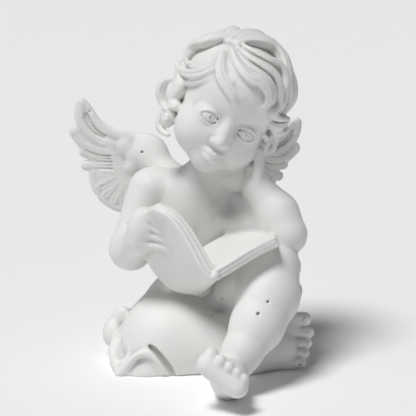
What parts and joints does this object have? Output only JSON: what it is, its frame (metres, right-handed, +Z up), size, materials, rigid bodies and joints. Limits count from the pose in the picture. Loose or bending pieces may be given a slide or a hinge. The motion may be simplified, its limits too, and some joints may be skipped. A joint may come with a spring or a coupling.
{
  "type": "reading cherub figurine",
  "caption": "Seated winged cherub, cast in white plaster, that leans its cheek on one hand and holds an open book over its lap.",
  "frame": {"origin": "on the floor, under the middle of the bounding box", "axes": "+Z up; the cherub faces -Y; its left hand, at its cheek, is towards +X"},
  "size_m": [0.1106, 0.1204, 0.148],
  "materials": {
    "plaster": "matte white cast plaster with small pinholes"
  },
  "bodies": {
    "root": {"reading_cherub": "plaster"}
  },
  "joints": []
}
